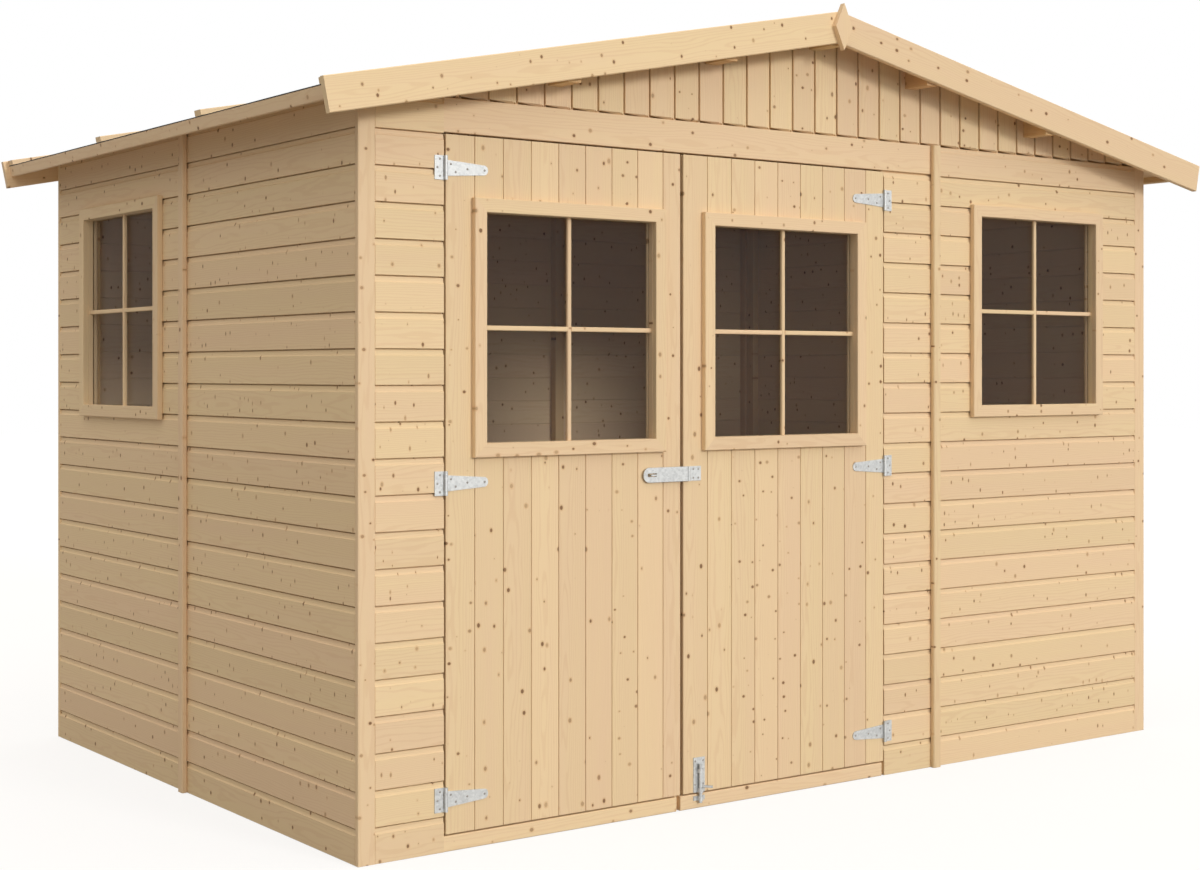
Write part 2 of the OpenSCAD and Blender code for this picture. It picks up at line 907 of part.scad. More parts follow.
floor_joists();
floor_boards();
door_sills();
front_left_wall();
front_right_wall();
front_window_wall();
door_header();
front_gable();
left_wall();
right_wall();
rear_wall();
rear_gable();
corner_boards();
cover_strips();
front_frame();
rear_frame();
left_frame();
right_frame();
purlins();
left_roof_deck();
right_roof_deck();
roof_felt();
left_roof_battens();
right_roof_battens();
eave_strips();
front_left_bargeboard();
front_right_bargeboard();
rear_left_bargeboard();
rear_right_bargeboard();
finials();
wall_window_casings();
wall_window_glass();
hinge_plates();
bolt_keeper();
left_door_boards();
left_door_ledges();
left_door_casing();
left_door_glass();
left_hinge_straps();
hasp_staple();
right_door_boards();
right_door_ledges();
right_door_casing();
right_door_glass();
right_hinge_straps();
hasp_plate();
bolt_plate();
hasp_strap();
bolt_rod();
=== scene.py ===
import math
import random

import bmesh
import bpy
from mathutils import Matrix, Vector


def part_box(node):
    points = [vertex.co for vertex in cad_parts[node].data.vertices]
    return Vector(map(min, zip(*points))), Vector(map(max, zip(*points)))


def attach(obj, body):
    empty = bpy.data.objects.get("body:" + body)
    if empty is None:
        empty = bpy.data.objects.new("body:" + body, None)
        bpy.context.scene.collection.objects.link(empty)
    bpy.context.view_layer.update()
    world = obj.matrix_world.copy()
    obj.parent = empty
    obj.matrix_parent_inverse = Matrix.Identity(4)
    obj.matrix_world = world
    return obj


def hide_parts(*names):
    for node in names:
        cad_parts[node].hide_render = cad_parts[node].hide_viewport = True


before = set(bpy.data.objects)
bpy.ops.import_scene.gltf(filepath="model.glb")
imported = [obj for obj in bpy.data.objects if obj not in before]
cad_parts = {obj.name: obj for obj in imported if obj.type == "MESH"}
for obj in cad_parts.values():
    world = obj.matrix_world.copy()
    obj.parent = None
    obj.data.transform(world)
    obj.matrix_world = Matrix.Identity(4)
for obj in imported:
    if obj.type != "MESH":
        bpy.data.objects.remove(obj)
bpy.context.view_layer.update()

random.seed(7)

# Boards, in metres
BOARD_T = 0.016
WALL_PITCH = 0.090
LEAF_PITCH = 0.087
GABLE_PITCH = 0.0868
GABLE_SHIFT = 0.006     # a joint of the gable boards, right of the ridge
GABLE_GAP = 0.0062      # shadow gap below the faces of the gable boards
FLOOR_PITCH = 0.090
HOLLOW = 0.018          # width and depth of the hollow at a shiplap joint
HOLLOW_D = 0.0042
GROOVE = 0.0034         # open joint below the next board's lip
LAST_ROW = 0.2          # a last row of a smaller share than this is left to the tongue below it
NARROWEST = 0.004       # no strip beside a window is narrower
LAST_STRIP = 0.010      # a last board of a leaf narrower than this joins its neighbour
LEAF_TRIM = 0.0005      # trim of the first board of a leaf
FAR = 1.0               # a width beyond every board

# Rounded edges
ARRIS_FINE = 0.0008
ARRIS = 0.0012
ARRIS_EASED = 0.0015
ARRIS_SOFT = 0.002
ARRIS_ROUND = 0.003
IRON_EDGE = 0.0004

# Roof, measured square to the slope from the underside of its boards
ROOF_PITCH = math.radians(11.4)
SLOPE = math.tan(ROOF_PITCH)
DECK_PITCH = 0.0913
DECK_T = 0.016
COVER_TOP = 0.034       # top of the battens and bargeboards
BARGE_W = 0.088
STRIP_T = 0.016
STRIP_H = 0.035
BATTEN_T = 0.016
FELT_T = 0.0016
FELT_LIFT = 0.0012      # how far the upper course of felt lies above the lower one
FELT_UNEVEN = 0.0004
FELT_LAP = (0.94, 1.02)  # down the slope, from the lower course's head to the upper course's foot
FELT_TOP = -0.0035      # where the upper course begins at the ridge

# Windows
GLASS_LAP = 0.014
GLASS_T = 0.004
CASING_W = 0.036
CASING_T = 0.017
BAR_W = 0.0125
BAR_D = 0.011
LINING = 0.006
BEAD_W = 0.012

# Door leaves and ironwork
BRACE_MIN_H = 0.2       # a solid of the ledges node that is taller is the brace
PLATE_T = 0.0025
HINGE_PLATE_W = 0.036
HINGE_NEAR = 0.1        # a hinge plate this near to a leaf's edge is that leaf's
SCREW_R = 0.0030
SCREW_H = 0.0013
PLATE_SCREWS = ((0.42, 0.15), (0.22, 0.5), (0.42, 0.85))  # shares of width and height
STRAP_SCREWS = ((0.16, 0.010), (0.27, -0.009), (0.53, 0.0), (0.92, 0.0))  # share of length, rise
HASP_INSETS = (0.009, 0.027)
HASP_RISES = (-0.012, 0.012)
BOLT_INSET = 0.006
BOLT_FOOT = 0.022
BOLT_HEAD = 0.010

# Studio
WHITE = (1.0, 1.0, 1.0, 1.0)
GROUND_REACH = 30
GROUND_Z = -0.001
GROUND_GREYS = ((0.24, 0.24, 0.24, 1), (0.26, 0.26, 0.26, 1))
GROUND_GLOW = 0.77      # makes the floor white where it is seen and lit
SKY_FROM = -0.1         # height at which the sky starts to brighten
SKY_LEVELS = (0.06, 1.42)
SKY_COLOUR = (1.0, 0.93, 0.83, 1)
LAMP_COLOUR = (1.0, 0.99, 0.97)
LAMPS = (("key", 1.20, 13, (-0.22, 0.94, -0.26)),  # name, strength, spread in degrees, direction
         ("fill", 0.36, 20, (0.20, 0.96, -0.10)))

# Camera fitted to the photo, with lengths and places in the photo's pixels
PHOTO_W, PHOTO_H = 1200, 870
PHOTO_FOCAL = 1871.5
PHOTO_CENTRE = (560, 371.9)
SENSOR_W = 36
EYE = (-3.741, -4.986, 1.202)
HEADING = -35.48

X, Y, Z = Vector((1, 0, 0)), Vector((0, 1, 0)), Vector((0, 0, 1))
LEFT_WALL, FRONT_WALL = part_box("left_wall"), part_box("front_left_wall")
FRONT_Y, REAR_Y = FRONT_WALL[0][1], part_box("rear_wall")[1][1]
LEFT_X, RIGHT_X = LEFT_WALL[0][0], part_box("right_wall")[1][0]
WALL_H = FRONT_WALL[1][2]
PLATE_FACE = FRONT_Y - PLATE_T


# Materials

class Nodes:
    """Short calls for the node tree of a material or of the world."""

    def __init__(self, owner, shader="Principled BSDF"):
        owner.use_nodes = True
        self.owner = owner
        self.tree = owner.node_tree
        self.shader = self.tree.nodes[shader]

    def new(self, kind, **values):
        node = self.tree.nodes.new(kind)
        for key, value in values.items():
            setattr(node, key, value)
        return node

    def put(self, socket, value):
        if isinstance(value, bpy.types.NodeSocket):
            self.tree.links.new(value, socket)
        else:
            socket.default_value = value

    def surface(self, values):
        """Give the shader's own sockets a constant or a link."""
        for key, value in values.items():
            self.put(self.shader.inputs[key], value)

    def math(self, operation, a, b=0.0):
        node = self.new("ShaderNodeMath", operation=operation)
        self.put(node.inputs[0], a)
        self.put(node.inputs[1], b)
        return node.outputs[0]

    def times(self, a, b):
        return self.math("MULTIPLY", a, b)

    def plus(self, a, b):
        return self.math("ADD", a, b)

    def scaled(self, vector, factors):
        node = self.new("ShaderNodeVectorMath", operation="MULTIPLY")
        self.put(node.inputs[0], vector)
        self.put(node.inputs[1], factors)
        return node.outputs["Vector"]

    def length(self, vector):
        node = self.new("ShaderNodeVectorMath", operation="LENGTH")
        self.put(node.inputs[0], vector)
        return node.outputs["Value"]

    def noise(self, vector, scale, detail=2.0):
        node = self.new("ShaderNodeTexNoise")
        self.put(node.inputs["Vector"], vector)
        self.put(node.inputs["Scale"], scale)
        self.put(node.inputs["Detail"], detail)
        return node.outputs[0]

    def cells(self, vector, scale, dimensions="3D"):
        """Distance to the nearest of scattered points, and three random numbers for that point."""
        node = self.new("ShaderNodeTexVoronoi", voronoi_dimensions=dimensions, feature="F1")
        self.put(node.inputs["Vector"], vector)
        self.put(node.inputs["Scale"], scale)
        return node.outputs["Distance"], self.split(node.outputs["Color"])

    def ramp(self, value, low, high, to_low=0.0, to_high=1.0, kind="SMOOTHSTEP"):
        node = self.new("ShaderNodeMapRange", interpolation_type=kind)
        for key, number in zip(("Value", "From Min", "From Max", "To Min", "To Max"),
                               (value, low, high, to_low, to_high)):
            self.put(node.inputs[key], number)
        return node.outputs[0]

    def mix(self, factor, a, b, blend="MIX"):
        node = self.new("ShaderNodeMix", data_type="RGBA", blend_type=blend)
        self.put(node.inputs[0], factor)
        self.put(node.inputs[6], a)
        self.put(node.inputs[7], b)
        return node.outputs[2]

    def attribute(self, name):
        return self.new("ShaderNodeAttribute", attribute_name=name).outputs["Vector"]

    def place(self):
        return self.new("ShaderNodeTexCoord").outputs["Object"]

    def split(self, vector):
        node = self.new("ShaderNodeSeparateXYZ")
        self.put(node.inputs[0], vector)
        return node.outputs

    def join(self, x, y, z):
        node = self.new("ShaderNodeCombineXYZ")
        for socket, value in zip(node.inputs, (x, y, z)):
            self.put(socket, value)
        return node.outputs[0]

    def bump(self, height, distance, strength):
        node = self.new("ShaderNodeBump")
        self.put(node.inputs["Height"], height)
        self.put(node.inputs["Distance"], distance)
        self.put(node.inputs["Strength"], strength)
        return node.outputs[0]

    def seen(self):
        """1 for what the camera sees, also in metal and through glass, and 0 for other light."""
        path = self.new("ShaderNodeLightPath").outputs
        bent = self.math("MAXIMUM", path["Is Glossy Ray"], path["Is Transmission Ray"])
        return self.math("MAXIMUM", path["Is Camera Ray"], bent)


def rgb(red, green, blue):
    """A colour given as the 0 to 255 values that a screen shows."""
    def linear(value):
        value /= 255
        return value / 12.92 if value <= 0.04045 else ((value + 0.055) / 1.055) ** 2.4
    return (linear(red), linear(green), linear(blue), 1.0)


PALE_WOOD, WARM_WOOD = rgb(241, 217, 174), rgb(239, 210, 175)
PALE_FRAME, WARM_FRAME = rgb(226, 196, 146), rgb(214, 172, 128)
LATE_WOOD = rgb(196, 142, 84)
KNOT_RIM, KNOT_CORE = rgb(205, 152, 96), rgb(100, 62, 33)


def pine(name, pale, warm, rough, squeeze=(0.75, 1.2), spread=22.0):
    """Planed pine: growth rings round a pith beside each board, fibres, and small brown knots.

    squeeze is how much shorter knots are along the grain than across it, from board to board.
    spread is the count of places for knots in a metre."""
    n = Nodes(bpy.data.materials.new(name))
    grain, tone = n.attribute("grain"), n.split(n.attribute("tone"))
    along, across, depth = n.split(grain)

    shorten = n.ramp(tone[2], 0.2, 0.8, *squeeze)
    distance, cell = n.cells(n.join(n.times(along, shorten), across, 0.0), spread, "2D")
    size = n.times(n.math("POWER", n.ramp(cell[0], 0.36, 1.0), 2.0), 0.112)
    edge = n.math("SUBTRACT", distance, size)
    strong = n.ramp(cell[1], 0.0, 0.8, 0.35, 1.0)
    knot = n.times(n.ramp(edge, -0.03, 0.008, 1.0, 0.0), strong)
    halo = n.times(n.ramp(edge, -0.01, 0.10, 1.0, 0.0), n.ramp(size, 0.01, 0.05))

    sway = n.noise(n.scaled(grain, (2.2, 16.0, 16.0)), 1.0, 3.0)
    radius = n.length(n.join(0.0, across, depth))
    bend = n.times(n.math("SUBTRACT", sway, 0.5), 0.030)
    swirl = n.times(halo, 0.004)
    ring = n.math("SINE", n.times(n.plus(n.plus(radius, bend), swirl), 1500.0))
    late = n.ramp(ring, 0.1, 1.0)
    fibre = n.noise(n.scaled(grain, (14.0, 900.0, 900.0)), 1.0)
    cloud = n.noise(n.scaled(grain, (1.6, 22.0, 22.0)), 1.0)

    shade = n.plus(n.times(cloud, 0.8), n.times(tone[1], 0.55))
    body = n.mix(n.ramp(shade, 0.2, 1.15), pale, warm)
    darker = n.plus(n.times(late, 0.21), n.times(fibre, 0.19))
    lined = n.mix(darker, body, n.mix(0.5, LATE_WOOD, warm))
    bright = n.plus(n.times(tone[0], 0.07), 0.945)
    toned = n.mix(1.0, lined, n.join(bright, bright, bright), "MULTIPLY")
    ringed = n.mix(n.times(halo, 0.35), toned, KNOT_RIM)
    height = n.plus(n.times(late, 0.25), n.times(fibre, 0.75))
    n.surface({"Base Color": n.mix(n.times(knot, 0.82), ringed, KNOT_CORE),
               "Roughness": rough,
               "Specular IOR Level": 0.25,
               "Normal": n.bump(height, 0.0004, 0.6)})
    return n.owner


def zinc():
    """Galvanised steel: grey, with a spangle of zinc crystals and fine scratches."""
    n = Nodes(bpy.data.materials.new("zinc"))
    place = n.place()
    crystal = n.cells(place, 190.0)[1][0]
    mottle = n.plus(n.times(crystal, 0.6), n.times(n.noise(place, 60.0, 3.0), 0.4))
    scratch = n.noise(n.scaled(place, (90.0, 90.0, 2600.0)), 1.0)
    dull = n.plus(mottle, n.times(scratch, 0.5))
    n.surface({"Base Color": n.mix(mottle, rgb(172, 174, 174), rgb(208, 209, 208)),
               "Metallic": 0.8,
               "Roughness": n.ramp(dull, 0.4, 1.1, 0.40, 0.56),
               "Normal": n.bump(scratch, 0.0001, 0.4)})
    return n.owner


def roofing_felt():
    """Mineral roofing felt: dark grit with paler grains."""
    n = Nodes(bpy.data.materials.new("roofing_felt"))
    place = n.place()
    grit = n.noise(place, 900.0)
    base = n.mix(n.noise(place, 3.0, 3.0), rgb(48, 49, 51), rgb(64, 65, 67))
    n.surface({"Base Color": n.mix(n.ramp(grit, 0.58, 0.72), base, rgb(120, 120, 122)),
               "Roughness": 0.9,
               "Normal": n.bump(grit, 0.0008, 0.8)})
    return n.owner


def window_glass():
    """Dim window glass with a faint unevenness."""
    n = Nodes(bpy.data.materials.new("window_glass"))
    n.surface({"Base Color": (0.11, 0.12, 0.13, 1.0),
               "Roughness": 0.03,
               "IOR": 1.38,
               "Alpha": 0.10,
               "Normal": n.bump(n.noise(n.place(), 2.5, 1.0), 0.0006, 0.3)})
    return n.owner


def dull_steel():
    """Screws of dull steel."""
    n = Nodes(bpy.data.materials.new("dull_steel"))
    speckle = n.noise(n.place(), 900.0)
    n.surface({"Base Color": n.mix(speckle, rgb(120, 115, 109), rgb(178, 174, 168)),
               "Metallic": 0.8,
               "Roughness": 0.42})
    return n.owner


PINE = pine("pine", PALE_WOOD, WARM_WOOD, 0.62)
WALL_PINE = pine("wall_pine", PALE_WOOD, WARM_WOOD, 0.62, squeeze=(1.15, 2.0), spread=19.5)
FRAME_PINE = pine("frame_pine", PALE_FRAME, WARM_FRAME, 0.75)
ZINC = zinc()
FELT = roofing_felt()
GLASS = window_glass()
STEEL = dull_steel()


# Profiles: points of width and depth, the outer face at depth 0

def plank_profile(width, thick, arris=ARRIS):
    return [(0, arris), (arris, 0), (width - arris, 0), (width, arris),
            (width, thick - arris), (width - arris, thick), (arris, thick), (0, thick - arris)]


def shiplap_profile(pitch=WALL_PITCH, thick=BOARD_T):
    """A board with a lip at one edge, and a hollow, a dark groove and a tongue at the other."""
    lip, back, lap, loose = 0.0106, 0.0114, 0.008, 0.003
    edge, chamfer = 0.0006, 0.0016
    cove = [(pitch - HOLLOW + share * (HOLLOW - GROOVE), HOLLOW_D * depth)
            for share, depth in ((0, 0), (0.10, 0.40), (0.28, 0.72), (0.60, 0.93), (1, 1))]
    return [(0, edge), (edge, 0), *cove, (pitch - GROOVE, back), (pitch + lap, back),
            (pitch + lap, thick - chamfer), (pitch + lap - chamfer, thick),
            (lap + loose + chamfer, thick), (lap + loose, thick - chamfer), (lap + loose, lip), (0, lip)]


def vee_profile(width, thick=BOARD_T):
    """A tongued board with a small vee at both edges."""
    gap, vee, tongue = 0.0008, 0.0011, 0.006
    front, back, loose = 0.0058, 0.0102, 0.0004
    return [(gap, vee), (gap + vee, 0), (width - gap - vee, 0), (width - gap, vee),
            (width - gap, front), (width + tongue, front), (width + tongue, back),
            (width - gap, back), (width - gap, thick), (gap, thick), (gap, back + loose),
            (tongue + 2 * gap, back + loose), (tongue + 2 * gap, front - loose), (gap, front - loose)]


def clipped(profile, low, high):
    """The part of a profile between two widths."""
    for limit, sign in ((low, 1), (high, -1)):
        kept = []
        for a, b in zip(profile, profile[1:] + profile[:1]):
            a_in, b_in = sign * (a[0] - limit) >= 0, sign * (b[0] - limit) >= 0
            if a_in:
                kept.append(a)
            if a_in != b_in:
                share = (limit - a[0]) / (b[0] - a[0])
                kept.append((limit, a[1] + share * (b[1] - a[1])))
        profile = kept
    return profile


# Pieces

def add_piece(name, body, material, points, faces, nodes=(), layers=()):
    """A mesh that rides on a body and stands for CAD nodes. layers are named values of its points."""
    mesh = bpy.data.meshes.new(name)
    mesh.from_pydata(points, [], faces)
    for key, values in layers:
        layer = mesh.attributes.new(key, "FLOAT_VECTOR", "POINT")
        layer.data.foreach_set("vector", [c for value in values for c in value])
    work = bmesh.new()
    work.from_mesh(mesh)
    bmesh.ops.recalc_face_normals(work, faces=work.faces)
    work.to_mesh(mesh)
    work.free()
    mesh.materials.append(material)
    piece = bpy.data.objects.new(name, mesh)
    bpy.context.collection.objects.link(piece)
    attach(piece, body)
    if nodes:
        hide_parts(*nodes)


def new_look():
    """What makes a board its own: its place along a trunk, its distance from the pith, its tone."""
    return (random.uniform(0, 40), (random.uniform(-0.05, 0.05), random.uniform(0.02, 0.09)),
            (random.random(), random.random(), random.random()))


class Timber:
    """Boards joined into one mesh. Each keeps its own grain coordinates and tone."""

    def __init__(self):
        self.points, self.faces, self.grain, self.tone = [], [], [], []

    def board(self, origin, along, across, inward, profile, start, end, look=None):
        """A profile run along a direction. start and end are lengths, or give them from width and depth."""
        count = len(profile)
        first = len(self.points)
        shift, pith, tone = look or new_look()
        for limit in (start, end):
            for width, depth in profile:
                length = limit(width, depth) if callable(limit) else limit
                self.points.append(origin + along * length + across * width + inward * depth)
                self.grain.append((shift + length, width + pith[0], depth + pith[1]))
                self.tone.append(tone)
        ring = range(count)
        self.faces += [(first + i, first + (i + 1) % count, first + count + (i + 1) % count,
                        first + count + i) for i in ring]
        self.faces += [tuple(first + i for i in reversed(ring)), tuple(first + count + i for i in ring)]

    def make(self, name, body, slot, *nodes, material=PINE):
        add_piece(name, body, material, self.points, self.faces, nodes,
                  (("grain", self.grain), ("tone", self.tone)))


def islands(node):
    """Lowest and highest corner of each separate solid of a CAD node."""
    work = bmesh.new()
    work.from_mesh(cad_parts[node].data)
    bmesh.ops.remove_doubles(work, verts=work.verts, dist=1e-5)
    found, left = [], set(work.verts)
    while left:
        group, edge = set(), [left.pop()]
        while edge:
            vert = edge.pop()
            group.add(vert)
            for other in (e.other_vert(vert) for e in vert.link_edges):
                if other in left:
                    left.discard(other)
                    edge.append(other)
        spots = [v.co for v in group]
        found.append((Vector([min(p[i] for p in spots) for i in range(3)]),
                      Vector([max(p[i] for p in spots) for i in range(3)])))
    work.free()
    return sorted(found, key=lambda pair: tuple(round(c, 4) for c in pair[0]))


def box_plank(timber, low, high, arris=ARRIS):
    """A plank that fills a box, with its grain along the longest side."""
    size = high - low
    order = sorted(range(3), key=lambda i: -size[i])
    along, across, inward = ((X, Y, Z)[i] for i in order)
    timber.board(low, along, across, inward, plank_profile(size[order[1]], size[order[2]], arris),
                 0.0, size[order[0]])


def planks_of(name, body, slot, *nodes, arris=ARRIS, material=PINE):
    """One plank for each box of some CAD nodes."""
    timber = Timber()
    for node in nodes:
        for low, high in islands(node):
            box_plank(timber, low, high, arris)
    timber.make(name, body, slot, *nodes, material=material)


# Walls of shiplap boards

def clad(timber, origin, along, inward, run, height, base, hole):
    """Boards from the foot of a wall to its head. hole is (from, to, low, high) of a window."""
    count = math.ceil((height - base) / WALL_PITCH - LAST_ROW)
    for row in range(count):
        low = base + row * WALL_PITCH
        profile = shiplap_profile()
        if row == count - 1:
            profile = clipped(profile, 0, height - low)
        spot = origin + Z * low
        if not hole or low + WALL_PITCH <= hole[2] or low >= hole[3]:
            timber.board(spot, along, Z, inward, profile, 0.0, run)
            continue
        look = new_look()
        timber.board(spot, along, Z, inward, profile, 0.0, hole[0], look)
        timber.board(spot, along, Z, inward, profile, hole[1], run, look)
        if hole[2] - low > NARROWEST:
            timber.board(spot, along, Z, inward, clipped(profile, 0, hole[2] - low), *hole[:2], look)
        if low + WALL_PITCH - hole[3] > NARROWEST:
            timber.board(spot, along, Z, inward, clipped(profile, hole[3] - low, FAR), *hole[:2], look)


def opening(glass_low, glass_high, axis, lap=GLASS_LAP):
    """The window opening along an axis and in height, from the lap of its glass sheet."""
    return glass_low[axis] + lap, glass_high[axis] - lap, glass_low[2] + lap, glass_high[2] - lap


def cut_out(glass_low, glass_high, axis):
    """The hole in the boards, larger than the opening by the lining."""
    return opening(glass_low, glass_high, axis, GLASS_LAP - LINING)


def wall(name, node, along, inward, glass=None):
    """The boards of a wall, with a hole for its glass sheet."""
    low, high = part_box(node)
    axis = 0 if along.x else 1
    start = Vector((low[0] if along.x > 0 or inward.x > 0 else high[0],
                    low[1] if along.y > 0 or inward.y > 0 else high[1], 0))
    hole = None
    if glass:
        near, far, foot, head = cut_out(*glass, axis)
        hole = (near - low[axis], far - low[axis], foot, head)
    timber = Timber()
    clad(timber, start, along, inward, high[axis] - low[axis], high[2], low[2], hole)
    timber.make(name, "shed", "pine", node, material=WALL_PINE)


glass_boxes = islands("wall_window_glass")
left_glass = min(glass_boxes, key=lambda pair: pair[0].x)
front_glass = max(glass_boxes, key=lambda pair: pair[0].x)
wall("front_left_boards", "front_left_wall", X, Y)
wall("front_right_boards", "front_right_wall", X, Y)
wall("front_window_boards", "front_window_wall", X, Y, front_glass)
wall("left_wall_boards", "left_wall", Y, X, left_glass)
wall("right_wall_boards", "right_wall", Y, -X)
wall("rear_wall_boards", "rear_wall", X, -Y)
planks_of("header_board", "shed", "pine", "door_header")
planks_of("sill_boards", "shed", "pine", "door_sills", arris=ARRIS_SOFT)
planks_of("corner_boards", "shed", "pine", "corner_boards", arris=ARRIS_EASED)
planks_of("cover_strips", "shed", "pine", "cover_strips", arris=ARRIS_ROUND)


# Gables, roof and frames

deck_low, deck_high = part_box("left_roof_deck")
RIDGE_Z = deck_high[2] - DECK_T / math.cos(ROOF_PITCH)
RIDGE = Vector((0, 0, RIDGE_Z))
DECK_Y = (deck_low[1], deck_high[1])
DECK_END = (-deck_low[0] - DECK_T * math.sin(ROOF_PITCH)) / math.cos(ROOF_PITCH)


def gable(name, node, face_y, inward):
    """Upright boards from the wall's head up to the roof, their faces cut a little short below."""
    def foot(width, depth):
        return WALL_H + (GABLE_GAP if width < GABLE_PITCH - HOLLOW / 2 else 0)

    timber = Timber()
    half = math.ceil(RIGHT_X / GABLE_PITCH)
    for i in range(-half, half):
        x = GABLE_SHIFT + i * GABLE_PITCH
        profile = clipped(shiplap_profile(GABLE_PITCH), max(LEFT_X - x, 0), RIGHT_X - x)

        def head(width, depth, x=x):
            return max(RIDGE_Z - abs(x + width) * SLOPE, foot(width, depth))
        timber.board(Vector((x, face_y, 0)), Z, X, inward, profile, foot, head)
    timber.make(name, "shed", "pine", node)


gable("front_gable_boards", "front_gable", FRONT_Y, Y)
gable("rear_gable_boards", "rear_gable", REAR_Y, -Y)


def slope_axes(side):
    """Directions down a roof slope and out of it."""
    down = Vector((side * math.cos(ROOF_PITCH), 0, -math.sin(ROOF_PITCH)))
    out = Vector((side * math.sin(ROOF_PITCH), 0, math.cos(ROOF_PITCH)))
    return down, out


def floored(timber, origin, axes, span, wanted, thick, start, end):
    """Tongued boards of equal width over a span, the last one without its tongue.

    axes are the directions along, across and into the boards. origin gives a corner from its shift."""
    count = round(span / wanted)
    pitch = span / count
    for i in range(count):
        profile = clipped(vee_profile(pitch, thick), 0, pitch if i == count - 1 else FAR)
        timber.board(origin(i * pitch), *axes, profile, start, end)


def roof_side(side, word):
    """Roof boards and battens of one slope."""
    down, out = slope_axes(side)
    boards = Timber()
    floored(boards, lambda shift: RIDGE + Y * (DECK_Y[0] + shift), (down, Y, out),
            DECK_Y[1] - DECK_Y[0], DECK_PITCH, DECK_T, lambda w, d: -d * SLOPE, DECK_END)
    boards.make(word + "_roof_boards", "shed", "pine", word + "_roof_deck")
    battens = Timber()
    for low, high in islands(word + "_roof_battens"):
        spot = RIDGE + out * (COVER_TOP - BATTEN_T) + Y * low.y
        battens.board(spot, down, Y, out, plank_profile(high.y - low.y, BATTEN_T, ARRIS_EASED),
                      lambda w, d: -(d + COVER_TOP - BATTEN_T) * SLOPE, DECK_END + STRIP_T)
    battens.make(word + "_roof_battens", "shed", "pine", word + "_roof_battens")


roof_side(-1, "left")
roof_side(1, "right")

strips = Timber()
for side in (-1, 1):
    down, out = slope_axes(side)
    spot = RIDGE + down * (DECK_END + STRIP_T) + out * (DECK_T - STRIP_H) + Y * DECK_Y[0]
    strips.board(spot, Y, out, -down, plank_profile(STRIP_H, STRIP_T, ARRIS_SOFT),
                 0.0, DECK_Y[1] - DECK_Y[0])
strips.make("eave_strips", "shed", "pine", "eave_strips")


def bargeboard(place, word, side, inward):
    """A sloping board before the roof's edge, cut upright at the ridge."""
    node = f"{place}_{word}_bargeboard"
    low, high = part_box(node)
    down, out = slope_axes(side)
    length = (max(-low[0], high[0]) - COVER_TOP * math.sin(ROOF_PITCH)) / math.cos(ROOF_PITCH)
    face = low[1] if inward.y > 0 else high[1]
    plank = plank_profile(BARGE_W, high[1] - low[1], ARRIS_SOFT)
    profile = [(w + COVER_TOP - BARGE_W, d) for w, d in plank]
    timber = Timber()
    timber.board(RIDGE + Y * face, down, out, inward, profile, lambda w, d: -w * SLOPE, length)
    timber.make(node, "shed", "pine", node)


for place, inward in (("front", Y), ("rear", -Y)):
    for word, side in (("left", -1), ("right", 1)):
        bargeboard(place, word, side, inward)

diamonds = Timber()
for low, high in islands("finials"):
    half_w, half_h, thick = (high.x - low.x) / 2, (high.z - low.z) / 2, high.y - low.y
    outline = [(-half_w, ARRIS), (ARRIS - half_w, 0), (0, 0), (half_w - ARRIS, 0), (half_w, ARRIS),
               (half_w, thick - ARRIS), (half_w - ARRIS, thick), (0, thick), (ARRIS - half_w, thick),
               (-half_w, thick - ARRIS)]
    diamonds.board(Vector((0, low.y, (low.z + high.z) / 2)), Z, X, Y, outline,
                   lambda w, d: -half_h * (1 - abs(w) / half_w), lambda w, d: half_h * (1 - abs(w) / half_w))
diamonds.make("finials", "shed", "pine", "finials")

purlins = Timber()
for low, high in islands("purlins"):
    half_rise = Z * 0.5 * (high.x - low.x) * SLOPE
    box_plank(purlins, low, high - half_rise)
purlins.make("purlins", "shed", "frame_timber", "purlins", material=FRAME_PINE)
planks_of("wall_frames", "shed", "frame_timber", "front_frame", "rear_frame", "left_frame", "right_frame",
          material=FRAME_PINE)
planks_of("floor_joists", "shed", "frame_timber", "floor_joists", material=FRAME_PINE)

floor_low, floor_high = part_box("floor_boards")
floor = Timber()
floored(floor, lambda shift: Vector((floor_low[0] + shift, floor_low[1], floor_high[2])), (Y, X, -Z),
        floor_high[0] - floor_low[0], FLOOR_PITCH, BOARD_T, 0.0, floor_high[1] - floor_low[1])
floor.make("floor_boards", "shed", "pine", "floor_boards")


# Windows

